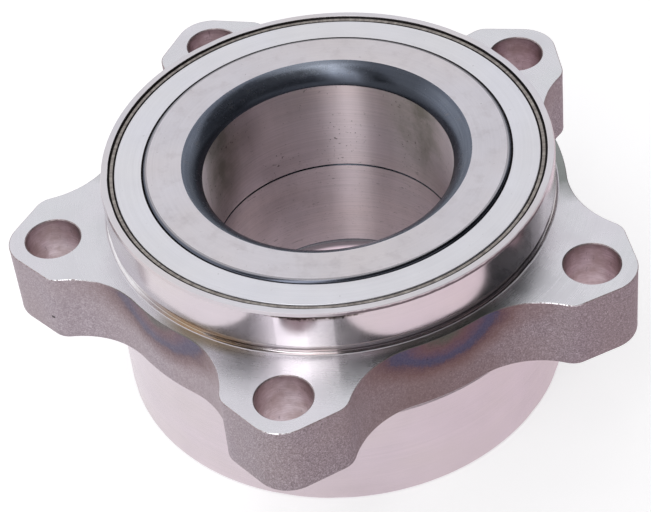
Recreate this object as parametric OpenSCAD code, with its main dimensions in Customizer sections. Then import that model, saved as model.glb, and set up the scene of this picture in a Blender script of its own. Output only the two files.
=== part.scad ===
// Flanged wheel hub bearing: two rows of tapered rollers back to back in one flanged outer ring.
// The origin is on the axis, in the machined upper face of the flange, and +Z points up the collar.
// The upper row is drawn over the split between the inner rings, and the lower row is its mirror image.

/* [Inner rings] */
// Diameter of the bore
bore_d = 61.2; // [54:0.1:76]
// Wall between the bore and a roller, at the roller's middle
inner_wall = 8; // [7:0.1:11]
// Width and height of the rounding at the bore's outer corners
bore_corner_w = 4.6; // [3:0.1:6]
// Radius of that rounding, whose ends the ground face and the ground bore cut off
bore_corner_r = 8; // [6:0.1:10]
// Chamfer on the bore's edges at the split between the rings
split_chamfer = 0.3; // [0.2:0.05:0.6]
// Distance of the large rib's edge outside the rollers' middles
large_rib_step = 1.4; // [1:0.1:2.4]
// Rounding radius of the large rib's outer corner
rib_corner_r = 1.1; // [0.6:0.1:2]
// Length of an inner ring past the rollers' large ends
large_rib_w = 9.3; // [8:0.1:14]
// Height of the small rib above the raceway's end
small_rib_h = 1.8; // [1.4:0.1:2.2]
// Depth of the grinding reliefs at the raceway's ends
relief_depth = 0.3; // [0.1:0.05:0.5]
// Width of those reliefs
relief_w = 0.9; // [0.6:0.1:1.4]

/* [Rollers and raceways] */
// Number of rollers in each row
roller_count = 22; // [12:1:24]
// Diameter of a roller at its middle
roller_d = 9.4; // [7.8:0.1:11.3]
// Length of the rollers, measured along the bearing's axis
roller_span = 15.6; // [12:0.1:20]
// Angle between a roller's axis and the bearing's axis
roller_tilt = 13.5; // [11:0.5:16.5]
// Distance of the rollers' small ends from the split between the inner rings
row_start = 6.3; // [6:0.1:9]
// Width and height of the chamfers on a roller's ends
roller_chamfer = 0.5; // [0.2:0.1:0.8]
// Radius of the shallow recess in a roller's large end
roller_recess_r = 1.9; // [1:0.1:2.6]
// Depth of that recess
roller_recess = 0.35; // [0.1:0.05:0.6]
// Running gap between a roller and each raceway
race_gap = 0.1; // [0.05:0.01:0.15]
// Free play of a roller between the ribs
rib_gap = 0.1; // [0.06:0.01:0.2]

/* [Cages] */
// Wall thickness of a cage
cage_wall = 2.3; // [1.6:0.1:2.8]
// Gap between the cage's inner face and the large rib's edge
cage_rib_gap = 1.05; // [0.4:0.05:1.4]
// Width of a cage's end rings
cage_end_w = 1.9; // [1.4:0.1:2.3]
// Distance that the small end ring reaches inwards past the cage's wall
cage_flange = 2; // [0:0.1:2.4]
// Distance that the large end ring stands out from the cage's wall
cage_rim = 0.7; // [0:0.1:0.9]
// Gap between a roller and its pocket
pocket_gap = 0.15; // [0.1:0.01:0.2]

/* [Outer ring] */
// Distance of the seal seats outside the rollers
seat_step = 5.2; // [4.6:0.1:7]
// Wall of the ground collar round the upper seal seat
collar_wall = 1.8; // [1.4:0.1:4]
// Height of the collar above the flange
collar_h = 12.7; // [9:0.1:18]
// Width of the lead-in taper at the collar's top
collar_lead_w = 0.25; // [0.1:0.05:0.6]
// Height of that taper
collar_lead_h = 0.9; // [0.4:0.1:2]
// Wall of the ground spigot round the lower seal seat
spigot_wall = 3; // [1.8:0.1:4.4]
// Rounding radius of the spigot's lower edge
spigot_edge_r = 1.2; // [0.4:0.1:1.4]
// Depth of the grinding undercuts at the foot of the collar and of the spigot
undercut_depth = 0.55; // [0.3:0.05:1]
// Height of the grinding undercuts
undercut_h = 2.3; // [1.5:0.1:3.5]
// Flat rim that an undercut leaves in the flange face, beyond the ground diameter
undercut_rim = 0.75; // [0.4:0.05:1.2]
// Distance of the upper inner ring's face above the collar's top
inner_proud = 0.1; // [0:0.05:0.3]
// Distance of the lower inner ring's face above the spigot's end
inner_recess = 0.4; // [0.1:0.05:1]

/* [Flange] */
// Thickness of the flange
flange_thickness = 19.5; // [14:0.1:26]
// Number of lobes, each with one bolt hole
lobe_count = 5; // [3:1:6]
// Distance of the bolt circle outside the collar
bolt_offset = 13.6; // [11.5:0.1:18]
// Diameter of a bolt hole
bolt_hole_d = 13.5; // [9:0.1:16.5]
// Width and height of the chamfer on both ends of a bolt hole
bolt_hole_chamfer = 0.25; // [0.1:0.05:1]
// Metal between a bolt hole and the lobe's tip
lobe_tip_wall = 4.15; // [3.4:0.05:8]
// Metal beside a bolt hole, out to the lobe's shoulders
lobe_side_wall = 8.25; // [6.8:0.05:10]
// Rounding radius of the lobe's tip
lobe_tip_r = 8.9; // [7.4:0.1:11]
// Rounding radius of a lobe's two shoulders
lobe_shoulder_r = 5.2; // [4:0.1:7]
// Distance of the shoulders' centres inside the bolt circle
lobe_shoulder_set = 0.9; // [0:0.1:3]
// Radius of the hollow curve that runs from a lobe into the web
lobe_root_r = 22; // [12:0.5:28]
// Width of the web that stands out round the collar between two lobes
web_width = 2.8; // [2:0.1:6]

/* [Seals] */
// Depth of the seal seats below the top of the collar
seal_depth = 6.2; // [5.6:0.1:7.5]
// Thickness of the seal cases' sheet
case_sheet = 0.95; // [0.6:0.05:1.15]
// Width of a seal case's rim, whose sheet is folded double
case_rim_w = 1.3; // [1.1:0.05:1.5]
// Width and height of the bevel round the rim, next to the seat
case_bevel = 0.55; // [0.2:0.05:0.8]
// Width of a seal case's floor, from the seat inwards
case_floor_w = 4.2; // [3.4:0.1:4.6]
// Thickness of the flingers' sheet
flinger_sheet = 0.85; // [0.6:0.05:1.05]
// Distance of the flinger's face below the end of the inner ring
flinger_drop = 0.5; // [0.3:0.05:0.8]
// Gap between a flinger's edge and the seal case
flinger_gap = 0.35; // [0.3:0.05:0.8]
// Thickness of a rubber lip at its tip
lip_edge = 0.5; // [0.3:0.05:0.7]
// Gap between a rubber lip and the flinger
lip_gap = 0.1; // [0.06:0.01:0.2]

/* [Ring clip] */
// Thickness of the clip that holds the inner rings together
clip_sheet = 0.9; // [0.6:0.05:1.1]
// Width of the clip
clip_w = 6.2; // [5:0.1:7.5]
// Depth of the clip's grooves in the inner rings
clip_groove = 0.9; // [0.5:0.1:1.1]

/* [Hidden] */
// Length that cuts run past a face, and the slack round a clip that touches nothing
past = 1;
slack = 0.05;
// Overlap of two outlines that would otherwise only touch, so that they cross at clear points
bite = 0.01;
// Broken edges of turned rings, of pressed sheet and of the seal seats, and the larger ones at the large ribs
edge = 0.3;
sheet_edge = 0.15;
seat_edge = 0.1;
rib_edge = 0.5;
// Length of the outer raceways past the rollers, and the depth of the grooves where they end
race_past = 0.9;
race_groove = 0.4;
$fn = 96;

// Radii, from the bore outwards
bore_r = bore_d / 2;
pitch_r = bore_r + inner_wall + roller_d / 2;
rib_r = pitch_r + large_rib_step;
seat_r = pitch_r + roller_d / 2 + seat_step;
collar_r = seat_r + collar_wall;
spigot_r = seat_r + spigot_wall;
web_r = collar_r + web_width;
bolt_r = collar_r + bolt_offset;

// Heights over the split between the inner rings
inner_ring_length = row_start + roller_span + large_rib_w;
collar_end_h = inner_ring_length - inner_proud;
spigot_end_h = inner_ring_length + inner_recess;
seat_h = collar_end_h - seal_depth;

// Places along the axis
split_z = collar_h - collar_end_h;
bottom_z = split_z - spigot_end_h;

// One row: the raceways and the rollers are cones with one apex on the axis, at apex_h over the split
axis_mid = pitch_r / sin(roller_tilt);
roller_length = roller_span / cos(roller_tilt);
axis_small = axis_mid - roller_length / 2;
axis_large = axis_mid + roller_length / 2;
roller_half = atan(roller_d / 2 / axis_mid);
cup_angle = roller_tilt + roller_half;
cone_angle = roller_tilt - roller_half;
apex_h = row_start - axis_small * cos(roller_tilt);
small_face = axis_small - rib_gap;
large_face = axis_large + rib_gap;

// Point [radius, height over the split] at a distance along a roller's axis and an offset outside it
function on_row(along, offset) = [
    along * sin(roller_tilt) + offset * cos(roller_tilt),
    apex_h + along * cos(roller_tilt) - offset * sin(roller_tilt)
];
// Point on the inner raceway, or sunk below it
function on_cone(along, sink = 0) = on_row(along, -along * tan(roller_half) - sink);
// Point on the outer raceway at a height over the split
function on_cup(h) = [(h - apex_h) * tan(cup_angle), h];
// Height at which a rib face, square to the roller's axis, reaches a radius
function rib_h(along, radius) = apex_h + (along - radius * sin(roller_tilt)) / cos(roller_tilt);

small_rib_r = on_cone(small_face)[0] + small_rib_h;
cup_small = on_cup(on_row(axis_small, roller_d / 2)[1] - race_past);
cup_large = on_cup(on_row(axis_large, roller_d / 2)[1] + race_past);

function roller_name(row, i) = str("roller_", row, i < 10 ? "_0" : "_", i);

// Puts a piece of the upper row, drawn over the split, at its place in either row
module in_row(row) {
    translate([0, 0, split_z])
        mirror([0, 0, row == "upper" ? 0 : 1])
            children();
}

// Lobe outline: the tip and shoulder circles, and the hollow root circle between lobe and web
lobe_reach = bolt_r + bolt_hole_d / 2 + lobe_tip_wall;
tip_at = [lobe_reach - lobe_tip_r, 0];
shoulder_at = [bolt_r - lobe_shoulder_set, bolt_hole_d / 2 + lobe_side_wall - lobe_shoulder_r];
shoulder_step = shoulder_at - tip_at;
slope_angle = atan2(shoulder_step[1], shoulder_step[0]) - 90
    + asin((lobe_tip_r - lobe_shoulder_r) / norm(shoulder_step));
// The root circle touches the web and the shoulder, so its centre is found by the cosine rule
root_reach = web_r + lobe_root_r;
shoulder_reach = norm(shoulder_at);
root_angle = atan2(shoulder_at[1], shoulder_at[0]) + acos(
    (pow(root_reach, 2) + pow(shoulder_reach, 2) - pow(lobe_root_r + lobe_shoulder_r, 2))
    / (2 * root_reach * shoulder_reach));
root_at = root_reach * [cos(root_angle), sin(root_angle)];

function on_circle(centre, r, angle) = centre + r * [cos(angle), sin(angle)];

// Half of a lobe, from its middle line to the web
module half_lobe() {
    touch = shoulder_at + (root_at - shoulder_at) * lobe_shoulder_r / (lobe_shoulder_r + lobe_root_r);
    foot = web_r * [cos(root_angle), sin(root_angle)];
    difference() {
        polygon([[0, 0], tip_at, on_circle(tip_at, lobe_tip_r - bite, slope_angle),
            on_circle(shoulder_at, lobe_shoulder_r - bite, slope_angle), shoulder_at, touch, root_at, foot]);
        translate(root_at)
            circle(lobe_root_r + bite, $fn = 180);
    }
    translate(shoulder_at)
        circle(lobe_shoulder_r);
}

// Turns a child from +X to each lobe; the first lobe lies on -Y
module at_lobes() {
    for (i = [0:lobe_count - 1])
        rotate(i * 360 / lobe_count - 90)
            children();
}

module flange_outline() {
    circle(web_r, $fn = 240);
    at_lobes() {
        half_lobe();
        mirror([0, 1])
            half_lobe();
        translate(tip_at)
            circle(lobe_tip_r);
    }
}

module bolt_hole() {
    translate([0, 0, -flange_thickness - past])
        cylinder(d = bolt_hole_d, h = flange_thickness + 2 * past);
    for (end = [0, 1])
        translate([0, 0, -flange_thickness * end])
            mirror([0, 0, end])
                translate([0, 0, -bolt_hole_chamfer])
                    cylinder(d1 = bolt_hole_d, d2 = bolt_hole_d + 4 * bolt_hole_chamfer,
                        h = 2 * bolt_hole_chamfer);
}

// Section of a grinding undercut, at the foot of a ground diameter that rises from a flange face
module undercut_section(ground_r) {
    floor_r = ground_r - undercut_depth;
    foot_r = 0.8;
    foot_at = [floor_r + foot_r, foot_r - undercut_depth / 2];
    polygon([[floor_r, undercut_h - undercut_depth], [ground_r + past, undercut_h + past],
        [ground_r + 2 * past, past], [ground_r + undercut_rim, 0], foot_at - [0, foot_r],
        foot_at, foot_at - [foot_r, 0]]);
    translate(foot_at)
        intersection() {
            circle(foot_r);
            translate([-foot_r, -foot_r])
                square(foot_r);
        }
}

// Section of the hollow in one half of the outer ring, over the split: raceway, grooves and seal seat
module outer_hollow(length) {
    land_r = cup_small[0] + race_groove;
    groove_r = cup_large[0] + race_groove;
    polygon([[0, -slack], [land_r, -slack], [land_r, cup_small[1] - race_groove], cup_small, cup_large,
        [groove_r, cup_large[1] + race_groove], [groove_r, seat_h - edge], [groove_r + edge, seat_h],
        [seat_r, seat_h], [seat_r, length - seat_edge], [seat_r + seat_edge + past, length + past],
        [0, length + past]]);
}

// Section of the turned body: collar, core of the flange, and spigot with its rounded edge
module ring_section() {
    middle_z = -flange_thickness / 2;
    polygon([[0, middle_z], [collar_r, middle_z], [collar_r, collar_h - collar_lead_h],
        [collar_r - collar_lead_w, collar_h], [0, collar_h]]);
    difference() {
        translate([0, bottom_z])
            square([spigot_r, middle_z - bottom_z]);
        translate([spigot_r - spigot_edge_r, bottom_z])
            square(spigot_edge_r);
    }
    translate([spigot_r - spigot_edge_r, bottom_z + spigot_edge_r])
        circle(spigot_edge_r);
}

module outer_ring() {
    color("silver")
        difference() {
            union() {
                rotate_extrude($fn = 240)
                    ring_section();
                translate([0, 0, -flange_thickness])
                    linear_extrude(flange_thickness)
                        flange_outline();
            }
            translate([0, 0, split_z])
                rotate_extrude($fn = 240) {
                    outer_hollow(collar_end_h);
                    mirror([0, 1])
                        outer_hollow(spigot_end_h);
                }
            rotate_extrude($fn = 240)
                undercut_section(collar_r);
            translate([0, 0, -flange_thickness])
                mirror([0, 0, 1])
                    rotate_extrude($fn = 240)
                        undercut_section(spigot_r);
            at_lobes()
                translate([bolt_r, 0])
                    bolt_hole();
        }
}

// Cuts the rounding at the bore's outer corner; its centre lies equally far from the face and from the bore
module bore_corner_cut() {
    centre_in = (bore_corner_w + sqrt(2 * pow(bore_corner_r, 2) - pow(bore_corner_w, 2))) / 2;
    centre_at = [bore_r + centre_in, inner_ring_length - centre_in];
    difference() {
        translate([bore_r - past, centre_at[1]])
            square(centre_in + past);
        translate(centre_at)
            circle(bore_corner_r, $fn = 180);
    }
}

module inner_ring(row) {
    top = inner_ring_length;
    groove_start_h = clip_w / 2 - clip_sheet - slack;
    groove_end_h = clip_w / 2 + slack;
    relief_floor = relief_w - relief_depth;
    rib_foot_h = rib_h(large_face, rib_r - rib_edge);
    color("gainsboro")
        in_row(row)
            rotate_extrude($fn = 240)
                difference() {
                    union() {
                        polygon([[bore_r + split_chamfer, 0], [small_rib_r - edge, 0], [small_rib_r, edge],
                            [small_rib_r, groove_start_h], [small_rib_r - clip_groove, groove_start_h],
                            [small_rib_r - clip_groove, groove_end_h], [small_rib_r, groove_end_h],
                            [small_rib_r, rib_h(small_face, small_rib_r)], on_cone(small_face, relief_depth),
                            on_cone(small_face + relief_floor, relief_depth), on_cone(small_face + relief_w),
                            on_cone(large_face - relief_w), on_cone(large_face - relief_floor, relief_depth),
                            on_cone(large_face, relief_depth), [rib_r - rib_edge, rib_foot_h],
                            [rib_r, rib_foot_h + rib_edge], [rib_r, top - rib_corner_r],
                            [rib_r - rib_corner_r, top], [bore_r, top], [bore_r, split_chamfer]]);
                        translate([rib_r - rib_corner_r, top - rib_corner_r])
                            circle(rib_corner_r);
                    }
                    bore_corner_cut();
                }
}

// Sheet ring that snaps into the grooves of both inner rings and keeps them together
module inner_ring_clip() {
    inside = small_rib_r + slack;
    outside = inside + clip_sheet;
    hook = small_rib_r - clip_groove + slack;
    half = clip_w / 2;
    color("dimgray")
        translate([0, 0, split_z])
            rotate_extrude($fn = 180)
                polygon([[hook, -half], [outside, -half], [outside, half], [hook, half],
                    [hook, half - clip_sheet], [inside, half - clip_sheet],
                    [inside, clip_sheet - half], [hook, clip_sheet - half]]);
}

// Places a child, drawn round a roller's axis from the row's apex, at one of the row's stations
module at_station(i) {
    rotate((i - 1) * 360 / roller_count)
        translate([0, 0, apex_h])
            rotate([0, roller_tilt, 0])
                children();
}

module roller(row, i) {
    small_r = axis_small * tan(roller_half) - race_gap;
    large_r = axis_large * tan(roller_half) - race_gap;
    color("lightsteelblue")
        in_row(row)
            at_station(i)
                rotate_extrude($fn = 48)
                    polygon([[0, axis_small], [small_r - roller_chamfer, axis_small],
                        [small_r, axis_small + roller_chamfer], [large_r, axis_large - roller_chamfer],
                        [large_r - roller_chamfer, axis_large], [roller_recess_r, axis_large],
                        [roller_recess_r, axis_large - roller_recess], [0, axis_large - roller_recess]]);
}

// Cage: a conical ring outside the large rib, with one tapered pocket for each roller
module cage(row) {
    pocket_start = axis_small - pocket_gap;
    pocket_end = axis_large + pocket_gap;
    start = pocket_start - cage_end_w;
    end = pocket_end + cage_end_w;
    inside = (rib_r + cage_rib_gap - large_face * sin(roller_tilt)) / cos(roller_tilt);
    outside = inside + cage_wall;
    flange_at = inside - cage_flange;
    rim_at = outside + cage_rim;
    color("darkgoldenrod")
        in_row(row)
            difference() {
                rotate_extrude($fn = 180)
                    polygon([on_row(start, flange_at), on_row(start, outside), on_row(pocket_end, outside),
                        on_row(pocket_end + cage_rim, rim_at), on_row(end, rim_at), on_row(end, inside),
                        on_row(pocket_start - edge, inside), on_row(pocket_start - edge, flange_at)]);
                for (i = [1:roller_count])
                    at_station(i)
                        translate([0, 0, pocket_start])
                            cylinder(r1 = pocket_start * tan(roller_half) + pocket_gap,
                                r2 = pocket_end * tan(roller_half) + pocket_gap,
                                h = pocket_end - pocket_start, $fn = 64);
            }
}

// Seal case: a sheet ring pressed into the outer ring's seat, with a floor that carries the lips
case_top = inner_ring_length - flinger_drop;
case_in_r = seat_r - case_rim_w;
case_floor_r = seat_r - case_floor_w;
case_floor_h = seat_h + case_sheet;
module seal_case(row) {
    color("rosybrown")
        in_row(row)
            rotate_extrude($fn = 240)
                polygon([[case_floor_r, seat_h], [seat_r - edge, seat_h], [seat_r, seat_h + edge],
                    [seat_r, case_top - case_bevel], [seat_r - case_bevel, case_top], [case_in_r, case_top],
                    [case_in_r, case_floor_h], [case_floor_r, case_floor_h]]);
}

// Flinger: an angled sheet ring pressed on the inner ring's large rib, whose flat closes the seal
flinger_r = case_in_r - flinger_gap;
flinger_back_h = case_top - flinger_sheet;
sleeve_r = rib_r + flinger_sheet;
module flinger(row) {
    sleeve_end = seat_h - edge;
    color("lightgray")
        in_row(row)
            rotate_extrude($fn = 240)
                polygon([[rib_r, sleeve_end], [sleeve_r, sleeve_end], [sleeve_r, flinger_back_h],
                    [flinger_r, flinger_back_h], [flinger_r, case_top - sheet_edge],
                    [flinger_r - sheet_edge, case_top], [rib_r + sheet_edge, case_top],
                    [rib_r, case_top - sheet_edge]]);
}

// Rubber seal moulded on the case's floor: an axial lip under the flinger's flat, a radial lip against
// its sleeve, and a grease lip that points to the rollers
module seal_lip(row) {
    root_w = 1.2;
    outer_r = case_floor_r + root_w;
    inner_r = case_floor_r - root_w;
    touch_r = sleeve_r + lip_gap;
    touch_h = flinger_back_h - lip_gap;
    axial_tip_r = (outer_r + flinger_r) / 2;
    radial_tip_h = (case_floor_h + flinger_back_h) / 2;
    color("dimgray")
        in_row(row)
            rotate_extrude($fn = 240)
                polygon([[case_floor_r, seat_h], [case_floor_r, case_floor_h], [outer_r, case_floor_h],
                    [outer_r, case_floor_h + lip_edge], [axial_tip_r, touch_h],
                    [axial_tip_r - lip_edge, touch_h], [case_floor_r, case_floor_h + root_w],
                    [touch_r, radial_tip_h],
                    [touch_r, radial_tip_h - lip_edge], [inner_r, case_floor_h],
                    [touch_r, seat_h - edge + lip_edge], [touch_r, seat_h - edge], [inner_r, seat_h]]);
}

outer_ring();
inner_ring_clip();
for (row = ["upper", "lower"]) {
    inner_ring(row);
    cage(row);
    seal_case(row);
    seal_lip(row);
    flinger(row);
    for (i = [1:roller_count])
        roller(row, i);
}
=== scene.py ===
import math

import bpy
import numpy as np
from mathutils import Matrix, Vector, noise
from mathutils.geometry import delaunay_2d_cdt


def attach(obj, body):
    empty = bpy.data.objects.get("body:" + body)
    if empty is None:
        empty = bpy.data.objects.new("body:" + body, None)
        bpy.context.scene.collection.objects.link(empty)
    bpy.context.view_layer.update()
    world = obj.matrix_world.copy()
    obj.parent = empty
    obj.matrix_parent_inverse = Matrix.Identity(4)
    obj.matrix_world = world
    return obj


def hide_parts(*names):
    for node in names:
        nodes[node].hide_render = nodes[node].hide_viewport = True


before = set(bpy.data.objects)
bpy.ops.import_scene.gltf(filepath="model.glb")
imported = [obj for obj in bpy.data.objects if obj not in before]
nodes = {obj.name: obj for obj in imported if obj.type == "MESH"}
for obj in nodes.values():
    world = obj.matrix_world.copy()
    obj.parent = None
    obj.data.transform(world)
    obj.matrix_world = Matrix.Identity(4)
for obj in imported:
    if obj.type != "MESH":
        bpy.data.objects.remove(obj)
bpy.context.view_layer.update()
MM = 0.001

# Sizes that repeat the CAD source
BORE_R = 30.6
BORE_CORNER_R = 8.0
BORE_CORNER_W = 4.6
SPLIT_CHAMFER = 0.3
RIB_R = 44.7
RIB_CORNER_R = 1.1
RIB_EDGE = 0.5
SMALL_RIB_H = 1.8
RELIEF_DEPTH = 0.3
RELIEF_W = 0.9
TILT = math.radians(13.5)
ROLLER_R = 4.7
ROLLER_SPAN = 15.6
ROW_START = 6.3
RIB_GAP = 0.1
CLIP_W = 6.2
CLIP_SHEET = 0.9
CLIP_GROOVE = 0.9
SLACK = 0.05
SEAT_R = 53.2
SEAT_STEP = 5.2
COLLAR_R = 55.0
SPIGOT_R = 56.2
COLLAR_H = 12.7
COLLAR_LEAD_W = 0.25
COLLAR_LEAD_H = 0.9
SPIGOT_EDGE_R = 1.2
RING_LENGTH = 31.2
COLLAR_END = 31.1
SPIGOT_END = 31.6
SEAT_H = 24.9
SPLIT_Z = COLLAR_H - COLLAR_END
BOTTOM_Z = SPLIT_Z - SPIGOT_END
UNDERCUT_DEPTH = 0.55
UNDERCUT_H = 2.3
UNDERCUT_RIM = 0.75
UNDERCUT_FOOT_R = 0.8
BURR_W = 0.25
BURR_H = 0.1
EDGE = 0.3
SHEET_EDGE = 0.15
RACE_PAST = 0.9
RACE_GROOVE = 0.4
THICK = 19.5
LOBES = 5
LOBE_STEP = 2 * math.pi / LOBES
FIRST_LOBE = -math.pi / 2
BOLT_R = 68.6
HOLE_R = 6.75
HOLE_CHAMFER = 0.25
TIP_R = 8.9
TIP_AT = np.array([70.6, 0.0])
SHOULDER_R = 5.2
SHOULDER_AT = np.array([67.7, 9.8])
ROOT_R = 22.0
WEB_R = 57.8
CASE_SHEET = 0.95
CASE_RIM_W = 1.3
CASE_BEVEL = 0.55
CASE_FLOOR_W = 4.2
FLINGER_SHEET = 0.85
FLINGER_DROP = 0.5
FLINGER_GAP = 0.35

# One row of rollers: both raceways are cones with one apex on the axis
axis_mid = (SEAT_R - SEAT_STEP - ROLLER_R) / math.sin(TILT)
half_length = ROLLER_SPAN / math.cos(TILT) / 2
roller_half = math.atan(ROLLER_R / axis_mid)
apex_h = ROW_START - (axis_mid - half_length) * math.cos(TILT)
small_face = axis_mid - half_length - RIB_GAP
large_face = axis_mid + half_length + RIB_GAP


def on_row(along, offset):
    """Radius and height of a place given along a roller's axis and outwards from it."""
    return (along * math.sin(TILT) + offset * math.cos(TILT),
            apex_h + along * math.cos(TILT) - offset * math.sin(TILT))


def on_cone(along, sink=0.0):
    return on_row(along, -along * math.tan(roller_half) - sink)


def on_cup(h):
    return ((h - apex_h) * math.tan(TILT + roller_half), h)


def rib_h(along, radius):
    return apex_h + (along - radius * math.sin(TILT)) / math.cos(TILT)


# Profiles: a closed line of (radius, height, fillet radius, zone of the stretch that follows).
# A support point this close to the ends of a long stretch keeps the shading straight between them.
SUPPORT = 0.12
LONG = 6 * SUPPORT
# Steps in a quarter turn of a fillet, the radius from which it gets more, and the most it gets
FILLET_STEPS = 3
FULL_FILLET = 0.6
MOST_STEPS = 24
# Share of a stretch that one fillet may take, and the shortest reach that is rounded
FILLET_SHARE = 0.45
SHORTEST = 1e-4


def filleted(profile):
    """Rounds each corner of a closed profile and returns points and the zone of each stretch."""
    points, zones = [], []
    n = len(profile)
    for i, (r, h, fillet, zone) in enumerate(profile):
        here = np.array([r, h])
        before = np.array(profile[i - 1][:2])
        after = np.array(profile[(i + 1) % n][:2])
        u, v = before - here, after - here
        lu, lv = np.linalg.norm(u), np.linalg.norm(v)
        u, v = u / lu, v / lv
        turn = math.pi - math.acos(max(-1.0, min(1.0, float(u @ v))))
        reach = fillet * math.tan(turn / 2) if fillet else 0.0
        reach = min(reach, FILLET_SHARE * lu, FILLET_SHARE * lv)
        if reach < SHORTEST:
            points.append(here)
            zones.append(zone)
            continue
        radius = reach / math.tan(turn / 2)
        start, end = here + u * reach, here + v * reach
        middle = here + (u + v) / np.linalg.norm(u + v) * math.hypot(radius, reach)
        a0 = math.atan2(*(start - middle)[::-1])
        sweep = (math.atan2(*(end - middle)[::-1]) - a0 + math.pi) % (2 * math.pi) - math.pi
        wanted = abs(sweep) / math.radians(90) * FILLET_STEPS * max(1, radius / FULL_FILLET) ** 0.5
        count = max(2, min(MOST_STEPS, math.ceil(wanted)))
        for k in range(count + 1):
            a = a0 + sweep * k / count
            points.append(middle + radius * np.array([math.cos(a), math.sin(a)]))
            zones.append(profile[i - 1][3] if k < count / 2 else zone)
        zones[-1] = zone
    return points, zones


def supported(points, zones, closed=True):
    """Adds the support points near both ends of each long stretch."""
    out, out_zones = [], []
    n = len(points)
    for i in range(n):
        out.append(points[i])
        out_zones.append(zones[i])
        if i == n - 1 and not closed:
            break
        step = points[(i + 1) % n] - points[i]
        length = float(np.linalg.norm(step))
        if length > LONG:
            out += [points[i] + step * SUPPORT / length, points[i] + step * (1 - SUPPORT / length)]
            out_zones += [zones[i]] * 2
    return out, out_zones


def make_object(name, vertices, faces, zones, materials, body, stands_for, sharp=35):
    """A mesh piece, given in millimetres, that rides on a body and replaces a CAD node."""
    mesh = bpy.data.meshes.new(name)
    mesh.from_pydata([tuple(v) for v in np.asarray(vertices) * MM], [], faces)
    mesh.validate()
    for material in materials:
        mesh.materials.append(material)
    mesh.polygons.foreach_set("material_index", np.array(zones, dtype=np.int32))
    mesh.polygons.foreach_set("use_smooth", np.ones(len(mesh.polygons), dtype=bool))
    mesh.set_sharp_from_angle(angle=math.radians(sharp))
    mesh.update()
    obj = bpy.data.objects.new(name, mesh)
    bpy.context.scene.collection.objects.link(obj)
    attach(obj, body)
    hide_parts(stands_for)


# Steps round the axis
RING_SEGMENTS = 360


def revolved(piece, profile, materials, body, lower):
    """A ring of revolution in either row; the lower row is the mirror image of the upper one."""
    name = f"{piece}_{'lower' if lower else 'upper'}"
    points, zones = supported(*filleted(profile))
    ring = np.array(points)
    if lower:
        ring = ring * [1, -1]
    ring[:, 1] += SPLIT_Z
    n = len(ring)
    angles = np.arange(RING_SEGMENTS) * 2 * math.pi / RING_SEGMENTS
    vertices = np.stack([np.outer(np.cos(angles), ring[:, 0]), np.outer(np.sin(angles), ring[:, 0]),
                         np.tile(ring[:, 1], (RING_SEGMENTS, 1))], axis=-1).reshape(-1, 3)
    faces, face_zones = [], []
    for s in range(RING_SEGMENTS):
        t = (s + 1) % RING_SEGMENTS
        for i in range(n):
            j = (i + 1) % n
            quad = (s * n + i, t * n + i, t * n + j, s * n + j)
            faces.append(quad if lower else quad[::-1])
            face_zones.append(zones[i])
    make_object(f"{name}_body", vertices, faces, face_zones, materials, body, name)


# Flange outline: half a lobe, from its tip to the middle of the web
def arc(centre, radius, start, end, spacing):
    count = max(2, math.ceil(abs(end - start) * radius / spacing))
    turns = np.linspace(start, end, count + 1)
    return [centre + radius * np.array([math.cos(t), math.sin(t)]) for t in turns]


def half_outline():
    """Arcs of the tip, the shoulder, the root and the web, each tangent to the next."""
    step = SHOULDER_AT - TIP_AT
    lean = math.asin((TIP_R - SHOULDER_R) / np.linalg.norm(step))
    slope = math.atan2(step[1], step[0]) - math.pi / 2 + lean
    reach, shoulder = WEB_R + ROOT_R, np.linalg.norm(SHOULDER_AT)
    root_angle = math.atan2(SHOULDER_AT[1], SHOULDER_AT[0]) + math.acos(
        (reach ** 2 + shoulder ** 2 - (ROOT_R + SHOULDER_R) ** 2) / (2 * reach * shoulder))
    root_at = reach * np.array([math.cos(root_angle), math.sin(root_angle)])
    towards = root_at - SHOULDER_AT
    touch = math.atan2(towards[1], towards[0])
    points = arc(TIP_AT, TIP_R, 0, slope, spacing=0.6)
    points += arc(SHOULDER_AT, SHOULDER_R, slope, touch, spacing=0.5)
    back = math.atan2(-towards[1], -towards[0])
    foot = root_angle + math.pi
    if back < 0:
        back += 2 * math.pi
    points += arc(root_at, ROOT_R, back, foot, spacing=0.75)[1:]
    points += arc(np.zeros(2), WEB_R, root_angle, LOBE_STEP / 2, spacing=0.7)[1:]
    return points


def outline():
    """Points of the whole outline, counterclockwise, and the outward normal at each."""
    half = half_outline()
    lobe = [p * [1, -1] for p in half[:0:-1]] + half
    lobe = lobe[:-1]
    points = []
    for i in range(LOBES):
        c, s = math.cos(FIRST_LOBE + i * LOBE_STEP), math.sin(FIRST_LOBE + i * LOBE_STEP)
        points += [np.array([c * x - s * y, s * x + c * y]) for x, y in lobe]
    points = np.array(points)
    along = np.roll(points, -1, axis=0) - np.roll(points, 1, axis=0)
    along /= np.linalg.norm(along, axis=1)[:, None]
    return points, np.stack([along[:, 1], -along[:, 0]], axis=1)


# Outer ring: one closed mesh. Each outline point carries a whole section of the ring, and the two flange
# faces are filled between the section's rims, the outline and the bolt holes.
Z_TURNED, Z_GROUND, Z_FORGED, Z_GROOVE, Z_HOLE, Z_INSIDE, Z_EDGE, Z_LIP, Z_LEAD = range(9)
WALL_STEPS = 14
# The wall stands this far inside the outline, so that it never leaves the CAD's facets
WALL_SET = 0.01
# Depth and pace of the wall's slow waves and of its grit, and how far from the faces they start
WALL_WAVE, WAVE_PACE = 0.09, 0.12
WALL_GRIT, GRIT_PACE = 0.05, 0.55
WALL_FADE = 1.0
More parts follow.
